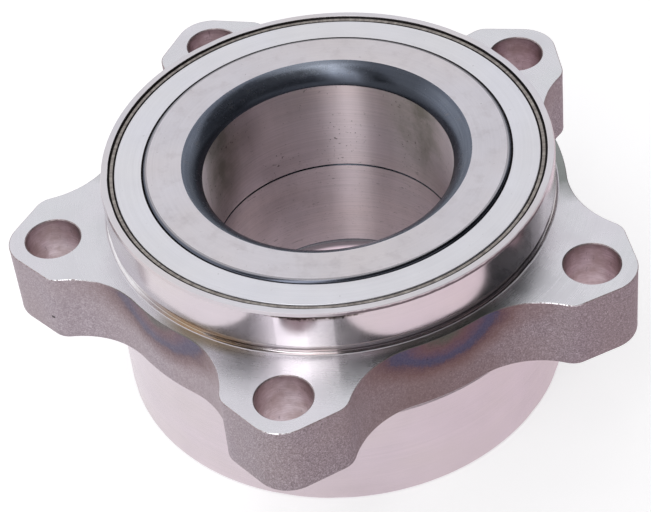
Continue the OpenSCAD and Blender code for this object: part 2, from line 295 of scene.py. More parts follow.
# Mean width of the broken upper edge and of the rounded lower edge, and how far noise changes them
BROKEN_W, BROKEN_WAVE, BROKEN_GRIT = 0.2, 0.1, 0.05
ROUNDED_W, ROUNDED_WAVE = 0.45, 0.15
EDGE_STEPS = 3
HOLE_STEPS = 72
HOLE_RINGS = 8
# Heights that soften a hole's chamfer where it meets the hole
HOLE_LIP = 0.03
HOLE_BELT = 0.1


def hollow_profile(length):
    """Raceway, grooves and seal seat of one half, from the split outwards, as points over the split."""
    cup_small = on_cup(on_row(axis_mid - half_length, ROLLER_R)[1] - RACE_PAST)
    cup_large = on_cup(on_row(axis_mid + half_length, ROLLER_R)[1] + RACE_PAST)
    land, groove = cup_small[0] + RACE_GROOVE, cup_large[0] + RACE_GROOVE
    return [(land, cup_small[1] - RACE_GROOVE, 0.1, Z_INSIDE), (*cup_small, 0.1, Z_INSIDE),
            (*cup_large, 0.1, Z_INSIDE), (groove, cup_large[1] + RACE_GROOVE, 0.2, Z_INSIDE),
            (groove, SEAT_H - EDGE, 0.1, Z_INSIDE), (groove + EDGE, SEAT_H, 0.1, Z_INSIDE),
            (SEAT_R, SEAT_H, 0.1, Z_INSIDE), (SEAT_R, length, 0.06, Z_LIP)]


def undercut_profile(ground_r):
    """Grinding undercut from the ground diameter to the flange face, as heights over that face."""
    floor_r = ground_r - UNDERCUT_DEPTH
    foot = (floor_r + UNDERCUT_FOOT_R, UNDERCUT_FOOT_R - UNDERCUT_DEPTH / 2)
    return [(ground_r, UNDERCUT_H, 0.06, Z_GROOVE), (floor_r, UNDERCUT_H - UNDERCUT_DEPTH, 0.3, Z_GROOVE),
            (floor_r, foot[1] - UNDERCUT_FOOT_R, UNDERCUT_FOOT_R, Z_GROOVE),
            (foot[0], foot[1] - UNDERCUT_FOOT_R, 0.05, Z_LIP),
            (ground_r + UNDERCUT_RIM - BURR_W, BURR_H, 0.08, Z_LIP)]


def body_profiles():
    """Open lines of (radius, z, fillet, zone): the ring's lower and upper surface up to the flange."""
    upper = [(r, SPLIT_Z + h, f, zone) for r, h, f, zone in hollow_profile(COLLAR_END)]
    upper += [(COLLAR_R - COLLAR_LEAD_W, COLLAR_H, 0.1, Z_LEAD)]
    upper += [(COLLAR_R, COLLAR_H - COLLAR_LEAD_H, 0.1, Z_GROUND)]
    upper += undercut_profile(COLLAR_R)
    lower = [(r, SPLIT_Z - h, f, zone) for r, h, f, zone in hollow_profile(SPIGOT_END)]
    lower += [(SPIGOT_R, BOTTOM_Z, SPIGOT_EDGE_R, Z_GROUND)]
    lower += [(r, -THICK - h, f, zone) for r, h, f, zone in undercut_profile(SPIGOT_R)]
    return lower, upper


def open_filleted(profile, rim):
    """Fillets the line that starts in the split plane and ends at the flange face's inner rim."""
    closing = [(*rim, 0, Z_TURNED), (0, rim[1], 0, 0), (0, SPLIT_Z, 0, 0)]
    points, zones = filleted([(profile[0][0], SPLIT_Z, 0, Z_INSIDE), *profile, *closing])
    points, zones = supported(points[:-2], zones[:-2], closed=False)
    return points + [points[-1] + [SUPPORT, 0]], zones + [Z_TURNED]


def inside(polygon, points):
    """Which points lie inside a closed polygon."""
    x, y = points[:, 0][:, None], points[:, 1][:, None]
    x1, y1 = polygon[:, 0], polygon[:, 1]
    x2, y2 = np.roll(x1, -1), np.roll(y1, -1)
    crosses = (y1 > y) != (y2 > y)
    with np.errstate(divide="ignore", invalid="ignore"):
        at = (x2 - x1) * (y - y1) / (y2 - y1) + x1
    return (crosses & (x < at)).sum(axis=1) % 2 == 1


def outer_ring(materials):
    """The flanged outer ring, from its sections, its wall, its holes and its two flange faces."""
    rim_points, rim_normals = outline()
    n = len(rim_points)
    turns = np.arctan2(rim_points[:, 1], rim_points[:, 0])
    unit = np.stack([np.cos(turns), np.sin(turns)], axis=1)
    lower, upper = body_profiles()
    up_points, up_zones = open_filleted(upper, (COLLAR_R + UNDERCUT_RIM, 0.0))
    low_points, low_zones = open_filleted(lower, (SPIGOT_R + UNDERCUT_RIM, -THICK))
    vertices, faces, zones = [], [], []

    def add_ring(points):
        start = len(vertices)
        vertices.extend(points)
        return start

    def turned_ring(r, z):
        return add_ring([(r * u[0], r * u[1], z) for u in unit])

    def join(a, b, zone, count=n, flip=False):
        for i in range(count):
            j = (i + 1) % count
            quad = (a + i, b + i, b + j, a + j)
            faces.append(quad[::-1] if flip else quad)
            zones.append(zone)

    # Both lines start on one ring in the split plane and end at a flange face
    up = [turned_ring(*p) for p in up_points]
    for k in range(len(up) - 1):
        join(up[k], up[k + 1], up_zones[k], flip=True)
    low = [up[0]] + [turned_ring(*p) for p in low_points[1:]]
    for k in range(len(low) - 1):
        join(low[k], low[k + 1], low_zones[k])

    # Flange wall: a broken upper edge of uneven width, a slightly uneven forged wall and a rounded lower edge
    spots = [Vector((p[0], p[1], 0)) for p in rim_points]
    broken = np.array([BROKEN_W + BROKEN_WAVE * noise.noise(s * 0.09) + BROKEN_GRIT * noise.noise(s * 0.6)
                       for s in spots])
    rounded = np.array([ROUNDED_W + ROUNDED_WAVE * noise.noise(s * 0.07 + Vector((9, 0, 0))) for s in spots])

    def wall_ring(inset, z):
        """One ring of the wall; inset and z hold a value for each outline point."""
        out = []
        for p, m, d, h in zip(rim_points, rim_normals, inset, z):
            place = Vector((p[0], p[1], h))
            swell = 0.5 + 0.5 * noise.noise(place * WAVE_PACE)
            grit = 0.5 + 0.5 * noise.noise(place * GRIT_PACE + Vector((0, 0, 40)))
            fade = min(1.0, max(0.0, -h / WALL_FADE)) * min(1.0, max(0.0, (THICK + h) / WALL_FADE))
            sink = WALL_SET + d + fade * (WALL_WAVE * swell + WALL_GRIT * grit)
            out.append((p[0] - m[0] * sink, p[1] - m[1] * sink, h))
        return add_ring(out)

    edge_turns = [k / EDGE_STEPS * math.pi / 2 for k in range(EDGE_STEPS + 1)]
    rings, ring_zones = [wall_ring(broken + SUPPORT, 0 * broken)], [Z_TURNED]
    for a in edge_turns:
        rings.append(wall_ring(broken * (1 - math.sin(a)), -broken * (1 - math.cos(a))))
        ring_zones.append(Z_EDGE)
    ring_zones[-1] = Z_FORGED
    for k in range(1, WALL_STEPS):
        share = k / WALL_STEPS
        rings.append(wall_ring(0 * broken, -broken * (1 - share) - (THICK - rounded) * share))
        ring_zones.append(Z_FORGED)
    for a in edge_turns:
        rings.append(wall_ring(rounded * (1 - math.cos(a)), -THICK + rounded * (1 - math.sin(a))))
        ring_zones.append(Z_FORGED)
    ring_zones[-1] = Z_TURNED
    rings.append(wall_ring(rounded + SUPPORT, 0 * broken - THICK))
    for k in range(len(rings) - 1):
        join(rings[k], rings[k + 1], ring_zones[k], flip=True)

    # Bolt holes, with a chamfer at both ends
    hole_turns = np.arange(HOLE_STEPS) * 2 * math.pi / HOLE_STEPS
    hole_ends = []
    half = [(HOLE_R + HOLE_CHAMFER + SUPPORT, 0.0), (HOLE_R + HOLE_CHAMFER, 0.0),
            (HOLE_R + HOLE_LIP, -HOLE_CHAMFER + HOLE_LIP), (HOLE_R, -HOLE_CHAMFER - HOLE_BELT)]
    levels = half + [(HOLE_R, -THICK * k / HOLE_RINGS) for k in range(1, HOLE_RINGS)]
    levels += [(r, -THICK - z) for r, z in half[::-1]]
    level_zones = [Z_TURNED, Z_EDGE] + [Z_HOLE] * (len(levels) - 5) + [Z_EDGE, Z_TURNED]
    for i in range(LOBES):
        a = FIRST_LOBE + i * LOBE_STEP
        middle = (BOLT_R * math.cos(a), BOLT_R * math.sin(a))
        hole = [add_ring([(middle[0] + r * math.cos(t), middle[1] + r * math.sin(t), z) for t in hole_turns])
                for r, z in levels]
        for k in range(len(hole) - 1):
            join(hole[k], hole[k + 1], level_zones[k], HOLE_STEPS)
        hole_ends.append((hole[0], hole[-1]))

    # Both flange faces, triangulated between their rims
    for top, rim_start, wall_start in ((True, up[-1], rings[0]), (False, low[-1], rings[-1])):
        loops = [range(rim_start, rim_start + n), range(wall_start, wall_start + n)]
        loops += [range(h[0 if top else 1], h[0 if top else 1] + HOLE_STEPS) for h in hole_ends]
        index = [i for loop in loops for i in loop]
        flat = [Vector(vertices[i][:2]) for i in index]
        edges, at = [], 0
        for loop in loops:
            edges += [(at + k, at + (k + 1) % len(loop)) for k in range(len(loop))]
            at += len(loop)
        found = delaunay_2d_cdt(flat, edges, [], 0, 1e-6, True)
        assert len(found[0]) == len(flat)
        source = [ids[0] for ids in found[3]]
        triangles = np.array(found[2])
        place = np.array([v[:] for v in found[0]])
        middles = place[triangles].mean(axis=1)
        loops_xy = [np.array([vertices[i][:2] for i in loop]) for loop in loops]
        keep = inside(loops_xy[1], middles) & ~inside(loops_xy[0], middles)
        for loop in loops_xy[2:]:
            keep &= ~inside(loop, middles)
        for triangle in triangles[keep]:
            corners = [index[source[k]] for k in triangle]
            a, b, c = [np.array(vertices[k][:2]) for k in corners]
            (ux, uy), (vx, vy) = b - a, c - a
            upwards = ux * vy - uy * vx > 0
            faces.append(tuple(corners if upwards == top else corners[::-1]))
            zones.append(Z_TURNED)
    make_object("outer_ring_body", vertices, faces, zones, materials, "housing", "outer_ring",
                sharp=24)


# Rings of revolution, and the zones of an inner ring and of the sheet pieces
R_BORE, R_FACE, R_BLACK, R_RIB, R_RACE, R_CORNER = range(6)
S_SHEET, S_SHADE = range(2)
BORE_CORNER_POINTS = 19
RIB_CORNER_POINTS = 10


def bore_corner(top):
    """Big black rounding at the bore's end; the ground face and the ground bore cut into it at an angle."""
    middle_in = (BORE_CORNER_W + math.sqrt(2 * BORE_CORNER_R ** 2 - BORE_CORNER_W ** 2)) / 2
    start = math.asin((middle_in - BORE_CORNER_W) / BORE_CORNER_R)
    turns = np.linspace(start, math.pi / 2 - start, BORE_CORNER_POINTS)
    return [(BORE_R + middle_in - BORE_CORNER_R * math.sin(a), top - middle_in + BORE_CORNER_R * math.cos(a),
             0, R_BLACK if a < turns[-1] else R_BORE) for a in turns]


def inner_ring_profile():
    """Bore, black corner, face, ribs, raceway and clip groove, counterclockwise over the split."""
    top = RING_LENGTH
    small_rib = on_cone(small_face)[0] + SMALL_RIB_H
    foot_h = rib_h(large_face, RIB_R - RIB_EDGE)
    groove_start, groove_end = CLIP_W / 2 - CLIP_SHEET - SLACK, CLIP_W / 2 + SLACK
    run = RELIEF_W - RELIEF_DEPTH
    race = [(BORE_R + SPLIT_CHAMFER, 0, 0.05), (small_rib - EDGE, 0, 0.05), (small_rib, EDGE, 0.05),
            (small_rib, groove_start, 0.05), (small_rib - CLIP_GROOVE, groove_start, 0.05),
            (small_rib - CLIP_GROOVE, groove_end, 0.05), (small_rib, groove_end, 0.05),
            (small_rib, rib_h(small_face, small_rib), 0.1), (*on_cone(small_face, RELIEF_DEPTH), 0.1),
            (*on_cone(small_face + run, RELIEF_DEPTH), 0.1), (*on_cone(small_face + RELIEF_W), 0.05),
            (*on_cone(large_face - RELIEF_W), 0.05), (*on_cone(large_face - run, RELIEF_DEPTH), 0.1),
            (*on_cone(large_face, RELIEF_DEPTH), 0.1), (RIB_R - RIB_EDGE, foot_h, 0.05)]
    corner = [(RIB_R - RIB_CORNER_R * (1 - math.cos(a)), top - RIB_CORNER_R * (1 - math.sin(a)), 0, R_CORNER)
              for a in np.linspace(0, math.pi / 2, RIB_CORNER_POINTS)[:-1]]
    return [*[(*place, R_RACE) for place in race], (RIB_R, foot_h + RIB_EDGE, 0.05, R_RIB), *corner,
            (RIB_R - RIB_CORNER_R, top, 0, R_FACE), *bore_corner(top), (BORE_R, SPLIT_CHAMFER, 0.05, R_BLACK)]


def in_sheet(points, shaded):
    """Gives a sheet piece's stretches the sheet's material, apart from the one painted near black as shade.
    """
    return [(*place, S_SHADE if i == shaded else S_SHEET) for i, place in enumerate(points)]


def seal_case_profile():
    top, inner, floor_r = RING_LENGTH - FLINGER_DROP, SEAT_R - CASE_RIM_W, SEAT_R - CASE_FLOOR_W
    # Painted shade on the rim's outer bevel, next to the seat
    return in_sheet([(floor_r, SEAT_H, 0.1), (SEAT_R - EDGE, SEAT_H, 0.3), (SEAT_R, SEAT_H + EDGE, 0.3),
                     (SEAT_R, top - CASE_BEVEL, 0.1), (SEAT_R - CASE_BEVEL, top, 0.15), (inner, top, 0.12),
                     (inner, SEAT_H + CASE_SHEET, 0.5), (floor_r, SEAT_H + CASE_SHEET, 0.1)], shaded=3)


def flinger_profile():
    top = RING_LENGTH - FLINGER_DROP
    edge_r, sleeve_r = SEAT_R - CASE_RIM_W - FLINGER_GAP, RIB_R + FLINGER_SHEET
    back = top - FLINGER_SHEET
    # Painted shade on the inner chamfer, next to the ring's rib
    return in_sheet([(RIB_R, SEAT_H - EDGE, 0.05), (sleeve_r, SEAT_H - EDGE, 0.05), (sleeve_r, back, 0.4),
                     (edge_r, back, 0.1), (edge_r, top - SHEET_EDGE, 0.08), (edge_r - SHEET_EDGE, top, 0.08),
                     (RIB_R + EDGE, top, 0.1), (RIB_R, top - EDGE, 0.05)], shaded=6)


# Materials
DEGREES = 180 / math.pi


class Paint:
    """A material whose nodes are added one call at a time. Its places and heights are in millimetres."""

    def __init__(self, name, colour, metallic, roughness, anisotropic=0.0, turn=0.0, specular=0.5):
        self.material = bpy.data.materials.new(name)
        self.material.use_nodes = True
        self.tree = self.material.node_tree
        self.shader = self.tree.nodes["Principled BSDF"]
        for key, value in (("Base Color", colour), ("Metallic", metallic), ("Roughness", roughness),
                           ("Anisotropic", anisotropic), ("Anisotropic Rotation", turn),
                           ("Specular IOR Level", specular)):
            self.set(key, value)
        self.material.diffuse_color = (*colour, 1)
        self.tone = colour
        place = self.node("ShaderNodeTexCoord").outputs["Object"]
        self.place = self.scaled(place, 1 / MM)
        split = self.node("ShaderNodeSeparateXYZ", Vector=self.place)
        self.x, self.y, self.z = split.outputs
        self.radius = self.length(self.x, self.y)
        self.turn = self.math("ARCTAN2", self.y, self.x)
        if anisotropic:
            tangent = self.node("ShaderNodeTangent")
            tangent.direction_type = "RADIAL"
            tangent.axis = "Z"
            self.set("Tangent", tangent.outputs[0])

    def node(self, kind, **inputs):
        made = self.tree.nodes.new(kind)
        for key, value in inputs.items():
            self.put(made.inputs[key], value)
        return made

    def put(self, socket, value):
        if isinstance(value, bpy.types.NodeSocket):
            self.tree.links.new(value, socket)
        elif socket.type == "RGBA" and len(value) == 3:
            socket.default_value = (*value, 1)
        else:
            socket.default_value = value

    def math(self, operation, a, b=None, c=None):
        made = self.node("ShaderNodeMath")
        made.operation = operation
        for socket, value in zip(made.inputs, (a, b, c)):
            if value is not None:
                self.put(socket, value)
        return made.outputs[0]

    def times(self, product, *others):
        for other in others:
            product = self.math("MULTIPLY", product, other)
        return product

    def length(self, a, b):
        return self.math("POWER", self.math("ADD", self.times(a, a), self.times(b, b)), 0.5)

    def scaled(self, vector, by):
        made = self.node("ShaderNodeVectorMath")
        made.operation = "MULTIPLY"
        self.put(made.inputs[0], vector)
        self.put(made.inputs[1], (by, by, by) if isinstance(by, (int, float)) else by)
        return made.outputs[0]

    def noise(self, scale, detail, roughness, vector=None, distortion=0.0):
        made = self.node("ShaderNodeTexNoise", Vector=self.place if vector is None else vector, Scale=scale,
                         Detail=detail, Roughness=roughness, Distortion=distortion)
        return made.outputs["Fac"]

    def ring_vector(self, along, fineness, round_about):
        """A vector that changes with one measure and, at another pace, round the axis."""
        made = self.node("ShaderNodeCombineXYZ", X=self.times(self.math("COSINE", self.turn), round_about),
                         Y=self.times(self.math("SINE", self.turn), round_about),
                         Z=self.times(along, fineness))
        return made.outputs[0]

    def between(self, value, low, high, to_low=0.0, to_high=1.0):
        made = self.node("ShaderNodeMapRange")
        for socket, number in zip(made.inputs, (value, low, high, to_low, to_high)):
            self.put(socket, number)
        return made.outputs[0]

    def window(self, value, low, high, soft):
        """1 between two values and 0 outside them, with soft ends."""
        return self.times(self.between(value, low - soft, low + soft),
                         self.between(value, high - soft, high + soft, 1, 0))

    def sector(self, start, end, soft=1.0):
        """1 between two angles in degrees round the axis."""
        return self.window(self.times(self.turn, DEGREES), start, end, soft)

    def ramp(self, value, stops):
        made = self.node("ShaderNodeValToRGB", Fac=value)
        ramp = made.color_ramp
        while len(ramp.elements) < len(stops):
            ramp.elements.new(0.5)
        for element, (at, colour) in zip(ramp.elements, stops):
            element.position = at
            element.color = (*colour, 1)
        return made.outputs[0]

    def mix(self, share, a, b):
        made = self.node("ShaderNodeMix")
        made.data_type = "RGBA"
        # The colour sockets of a mix node come after those for numbers and vectors
        for place, value in ((0, share), (6, a), (7, b)):
            self.put(made.inputs[place], value)
        return made.outputs[2]

    def set(self, name, value):
        self.put(self.shader.inputs[name], value)

    def paint(self, colour):
        self.set("Base Color", colour)

    def rough(self, noise_level, low, high):
        """Lets the roughness follow a noise between two levels."""
        self.set("Roughness", self.between(noise_level, 0.3, 0.7, low, high))

    def bump(self, height, distance, below=None):
        made = self.node("ShaderNodeBump", Height=height, Distance=distance * MM)
        if below is not None:
            self.put(made.inputs["Normal"], below)
        return made.outputs[0]


# A quarter turn of the anisotropy draws highlights out across the turned lines
QUARTER = 0.25


def turned_steel(name, colour, roughness, lines, anisotropic, across="radius", blotch=0.06,
                 tint=(1.0, 0.97, 0.93), depth=0.0012, line_tone=0.16):
    """Steel with fine lines round the axis: on a face they follow the radius, on a cylinder the height."""
    p = Paint(name, colour, 1.0, roughness, anisotropic, QUARTER)
    along = p.radius if across == "radius" else p.z
    fine = p.noise(1.0, 6, 0.75, vector=p.ring_vector(along, lines, 1.2))
    broad = p.noise(0.09, 4, 0.6)
    stain = p.noise(0.035, 3, 0.5, vector=p.scaled(p.place, (1, 1, 2)))
    tone = p.mix(p.between(stain, 0.4, 0.7), colour, tuple(c * t for c, t in zip(colour, tint)))
    tone = p.mix(p.between(broad, 0.25, 0.75, 0, blotch * 2), tone, tuple(c * 0.6 for c in colour))
    tone = p.mix(p.between(fine, 0.3, 0.75, 0, line_tone), tone, tuple(c * 0.55 for c in colour))
    p.paint(tone)
    p.set("Roughness", p.math("ADD", p.between(broad, 0.3, 0.7, roughness - 0.04, roughness + 0.05),
                              p.between(fine, 0.3, 0.7, -0.03, 0.03)))
    p.set("Normal", p.bump(fine, depth))
    p.tone = tone
    return p


STEEL = (0.72, 0.70, 0.745)
GROUND = (0.76, 0.70, 0.735)
# Half-width and depth in millimetres of the temper-coloured patch on each web
HEAT_W = 14.3
HEAT_H = 8.2


def heat_of(p):
    """Distance from the middle of the nearest web's top edge, 1 on the blue band's rim; and its strength."""
    # Whole steps are added so that the fraction is taken of a number over zero
    shifted = p.math("DIVIDE", p.math("ADD", p.turn, 20 * LOBE_STEP - FIRST_LOBE), LOBE_STEP)
    share = p.math("SUBTRACT", p.math("FRACT", shifted), 0.5)
    reach = p.length(p.times(share, LOBE_STEP * WEB_R / HEAT_W), p.math("DIVIDE", p.z, HEAT_H))
    wander = p.times(p.math("SUBTRACT", p.noise(0.22, 3, 0.6), 0.5), 0.35)
    speckle = p.times(p.math("SUBTRACT", p.noise(3.2, 2, 0.6), 0.5), 0.3)
    strong = p.math("MULTIPLY_ADD", p.math("COSINE", p.math("ADD", p.turn, 0.7)), 0.25, 0.75)
    return p.math("ADD", p.math("ADD", reach, wander), speckle), strong


def forged_steel():
    """Rough shot-blasted forging; the webs carry temper colours from the hardened raceways behind them."""
    base = (0.41, 0.36, 0.39)
    p = Paint("forged_steel", base, 1.0, 0.6)
    grit = p.noise(3.0, 3, 0.7)
    grain = p.noise(1.3, 4, 0.6)
    dents = p.noise(0.5, 3, 0.5)
    broad = p.noise(0.06, 3, 0.5)
    tone = p.ramp(p.between(grit, 0.3, 0.7),
                  [(0.0, (0.19, 0.165, 0.18)), (0.5, base), (1.0, (0.72, 0.66, 0.70))])
    tone = p.mix(p.between(grain, 0.35, 0.7, 0, 0.45), tone, (0.28, 0.225, 0.24))
    tone = p.mix(p.between(broad, 0.35, 0.65, 0, 0.3), tone, (0.42, 0.345, 0.33))
    # Painted light and shade: the walls at the left are painted lighter and those at the right darker
    tone = p.mix(p.times(p.sector(-175, -98, 6), 0.3), tone, (0.60, 0.53, 0.57))
    tone = p.mix(p.times(p.sector(-86, -5, 6), 0.2), tone, (0.20, 0.15, 0.155))
    smudge = p.times(p.sector(-72, -40, 9), p.between(broad, 0.3, 0.5, 0.35, 0.6))
    tone = p.mix(smudge, tone, (0.22, 0.145, 0.135))
    heat, strong = heat_of(p)
    colours = p.ramp(p.times(heat, 0.6), [
        (0.0, (0.075, 0.10, 0.078)), (0.12, (0.10, 0.098, 0.085)), (0.24, (0.16, 0.085, 0.10)),
        (0.38, (0.125, 0.080, 0.13)), (0.48, (0.065, 0.075, 0.16)), (0.57, (0.066, 0.070, 0.145)),
        (0.64, (0.14, 0.080, 0.10)), (0.76, (0.19, 0.105, 0.10)), (1.0, (0.27, 0.185, 0.185))])
    speckled = p.mix(p.between(grit, 0.3, 0.7, 0.0, 0.25), colours, (0.32, 0.24, 0.21))
    amount = p.times(p.between(heat, 1.05, 1.75, 0.95, 0.0), strong)
    tone = p.mix(amount, tone, speckled)
    pits = p.between(p.noise(0.42, 1, 0.4), 0.79, 0.82)
    p.paint(p.mix(p.times(pits, 0.85), tone, (0.03, 0.025, 0.025)))
    p.rough(grain, 0.52, 0.68)
    low = p.bump(dents, 0.1)
    p.set("Normal", p.bump(grit, 0.05, below=p.bump(grain, 0.06, below=low)))
    return p.material


def flange_face():
    """Flange faces turned on a lathe: fine rings that draw highlights out along the radius."""
    p = turned_steel("turned_face", STEEL, 0.27, 4.5, 0.75, tint=(0.96, 1.0, 0.97))
    heat, strong = heat_of(p)
    near_wall = p.between(p.radius, 59.0, 66.0, 1.0, 0.0)
    pale_left = p.math("SUBTRACT", 1.0, p.sector(-150, -122, 5))
    amount = p.times(p.between(heat, 0.75, 1.35, 0.9, 0.0), strong, near_wall, pale_left)
    tone = p.mix(amount, p.tone, (0.15, 0.17, 0.15))
    # Brown oil and painted shade on the face beside the collar, left of the front lobe
    oil_and_shade = p.times(p.sector(-123, -101, 5), p.between(p.radius, 57.2, 59.0, 0.8, 0.0))
    tone = p.mix(oil_and_shade, tone, (0.34, 0.29, 0.22))
    specks = p.between(p.noise(0.8, 2, 0.5), 0.77, 0.79)
    p.paint(p.mix(p.times(specks, 0.7), tone, (0.10, 0.09, 0.09)))
    return p.material


def ground_steel():
    """Ground collar and spigot, with a baked brown stain under the collar's lead-in."""
    p = turned_steel("ground_diameter", GROUND, 0.17, 3.0, 0.75, across="z", tint=(0.98, 0.99, 0.95))
    aside = p.math("ABSOLUTE", p.math("ADD", p.times(p.turn, DEGREES), 84.0))
    depth = p.between(aside, 1.0, 10.0, 1.15, 0.45)
    under = p.math("DIVIDE", p.math("SUBTRACT", 11.85, p.z), depth)
    rag = p.math("ADD", p.noise(0.9, 2, 0.5), p.times(p.noise(3.0, 2, 0.6), 0.7))
    cloud = p.math("ADD", under, p.times(p.math("SUBTRACT", rag, 0.85), 3.0))
    patch = p.sector(-95, -73, 1.5)
    halo = p.times(patch, p.between(under, 0.6, 1.7, 0.6, 0))
    tone = p.mix(halo, p.tone, (0.36, 0.28, 0.25))
    crust = p.times(patch, p.between(cloud, 0.55, 0.95, 0.92, 0))
    p.paint(p.mix(crust, tone, (0.075, 0.06, 0.055)))
    return p.material


def lead_in_steel():
    """Steep turned taper that leads a part over the collar: painted dark at the front, where it stands in for
    a dark reflection, and plain at the sides.
    """
    p = turned_steel("lead_in", (0.70, 0.66, 0.69), 0.3, 4.0, 0.5, across="z")
    ragged = p.math("ADD", p.z, p.times(p.math("SUBTRACT", p.noise(0.6, 3, 0.6), 0.5), 0.6))
    # Painted reflection: a dark band at the front stands in for the dark surroundings that the taper mirrors
    painted_band = p.times(p.sector(-80, -12, 4), p.window(ragged, 11.75, 12.35, 0.1))
    p.paint(p.mix(p.times(painted_band, 0.9), p.tone, (0.12, 0.09, 0.10)))
    return p.material


def lip_steel():
    """Ends of the collar and the spigot, with their chamfers: satin, less drawn out than the flange."""
    return turned_steel("lip_face", STEEL, 0.46, 5.0, 0.35).material


def undercut_steel():
    """Grinding undercuts: mirror-like, with baked brown oil and painted shade left of the front lobe; painted
    light at the left, at the front right and low down.
    """
    p = turned_steel("undercut", (0.64, 0.60, 0.62), 0.15, 6.0, 0.6, across="z")
    # Painted light: the left sector is painted pale
    pale_left = p.mix(p.sector(-176, -136, 5), p.tone, (0.92, 0.90, 0.91))
    # Brown oil and painted shade left of the front lobe
    oil_and_shade = p.times(p.sector(-126, -101, 5), p.between(p.noise(0.3, 3, 0.6), 0.25, 0.5))
    tone = p.mix(oil_and_shade, pale_left, (0.58, 0.47, 0.37))
    # Painted light: a thin matt band at the front right is painted pale
    painted_band = p.times(p.sector(-78, -30, 6), p.between(p.z, 1.45, 1.65))
    tone = p.mix(p.times(painted_band, 0.8), tone, (0.80, 0.67, 0.68))
    # Painted light: the lower undercut is painted pale and matt instead of lying in shade
    below = p.between(p.z, -15.0, -10.0, 1, 0)
    p.paint(p.mix(below, tone, (0.80, 0.72, 0.75)))
    p.set("Roughness", p.between(p.math("MAXIMUM", painted_band, below), 0, 1, 0.15, 0.6))
    return p.material


def black_oxide():
    """Blackened bore corner: blue-black, with a painted highlight on its crest at the back, painted shade on
    the right, and chipped in places.
    """
    p = Paint("black_corner", (0.12, 0.135, 0.175), 0.8, 0.2, specular=0.6)
    fine = p.noise(1.0, 5, 0.7, vector=p.ring_vector(p.z, 4.0, 2.0))
    spots = p.noise(0.5, 4, 0.6)
    tone = p.mix(p.between(fine, 0.35, 0.7), (0.105, 0.12, 0.16), (0.165, 0.185, 0.23))
    tone = p.mix(p.between(spots, 0.6, 0.75, 0, 0.5), tone, (0.20, 0.19, 0.20))
    # Painted highlight on the crest at the back
    painted_highlight = p.times(p.sector(90, 120, 12), p.between(p.z, 10.6, 11.8, 0, 0.6))
    tone = p.mix(painted_highlight, tone, (0.30, 0.33, 0.39))
    tone = p.mix(p.between(p.radius, BORE_R + 0.7, BORE_R + 1.6, 1, 0), tone, (0.06, 0.068, 0.09))
    # Painted shade: the right side is painted darker
    tone = p.mix(p.times(p.sector(48, 88, 9), 0.7), tone, (0.028, 0.032, 0.042))
    chips = p.between(p.noise(2.0, 2, 0.6), 0.74, 0.77)
    tone = p.mix(p.times(chips, 0.6), tone, (0.60, 0.60, 0.63))
    p.paint(tone)
    p.rough(spots, 0.2, 0.3)
    p.set("Normal", p.bump(fine, 0.002))
    return p.material


def rib_corner_steel():
    """Rounded outer corner of an inner ring, blackened like the bore's corners."""
    p = turned_steel("rib_corner", (0.36, 0.35, 0.38), 0.22, 4.0, 0.3)
    black = p.between(p.radius, RIB_R - 0.75, RIB_R - 0.5)
    p.paint(p.mix(black, p.tone, (0.12, 0.13, 0.165)))
    return p.material


def bore_steel():
    """Ground bore, with small pits, a few fine scratches left by a trial fit, and olive stains with painted
    shade high up on two sides.
    """
    p = turned_steel("bore_steel", (0.79, 0.70, 0.735), 0.47, 2.6, 1.0, across="z", blotch=0.03,
                     depth=0.0035, line_tone=0.5)
    streaks = p.noise(1.0, 4, 0.6, vector=p.ring_vector(p.z, 0.03, 7.0))
    tone = p.mix(p.between(streaks, 0.4, 0.7, 0, 0.15), p.tone, (0.42, 0.37, 0.37))
    # Olive stains and painted shade high up on two sides of the bore
    sides = p.math("MAXIMUM", p.sector(38, 66, 10), p.sector(150, 176, 12))
    upper = p.between(p.z, -20.0, -4.0)
    oil_and_shade = p.times(sides, upper, p.between(p.noise(0.16, 4, 0.65), 0.38, 0.6, 0.35, 0.8))
    tone = p.mix(oil_and_shade, tone, (0.26, 0.25, 0.20))
    patches = p.between(p.noise(0.07, 2, 0.5), 0.42, 0.54)
    pits = p.between(p.noise(1.3, 2, 0.5), 0.66, 0.70)
    marks = p.times(pits, patches, p.between(p.z, -21.0, -14.0, 0.15, 0.75))
    tone = p.mix(marks, tone, (0.12, 0.09, 0.09))
    slant = p.scaled(p.place, (0.25, 0.25, 0.9))
    scratches = p.between(p.noise(1.4, 2, 0.5, vector=slant, distortion=2.5), 0.66, 0.69)
    lower = p.between(p.z, -12.0, -16.0)
    p.paint(p.mix(p.times(scratches, lower, 0.45), tone, (0.20, 0.17, 0.17)))
    return p.material


def hole_steel():
    """Drilled wall of a bolt hole, brown in places, with long scratches."""
    p = Paint("hole_wall", (0.66, 0.58, 0.60), 1.0, 0.34, 0.4, QUARTER)
    fine = p.noise(1.0, 5, 0.7, vector=p.scaled(p.place, (0.35, 0.35, 5.0)))
    broad = p.noise(0.2, 3, 0.6)
    tone = p.mix(p.between(fine, 0.3, 0.7), (0.50, 0.42, 0.44), (0.82, 0.73, 0.76))
    tone = p.mix(p.between(broad, 0.4, 0.65, 0, 0.6), tone, (0.40, 0.29, 0.27))
    upright = p.scaled(p.place, (1.4, 1.4, 0.3))
    scratches = p.between(p.noise(1.0, 3, 0.6, vector=upright, distortion=1.5), 0.62, 0.68)
    p.paint(p.mix(p.times(scratches, 0.5), tone, (0.22, 0.17, 0.18)))
    p.rough(broad, 0.28, 0.4)
    p.set("Normal", p.bump(fine, 0.006))
    return p.material


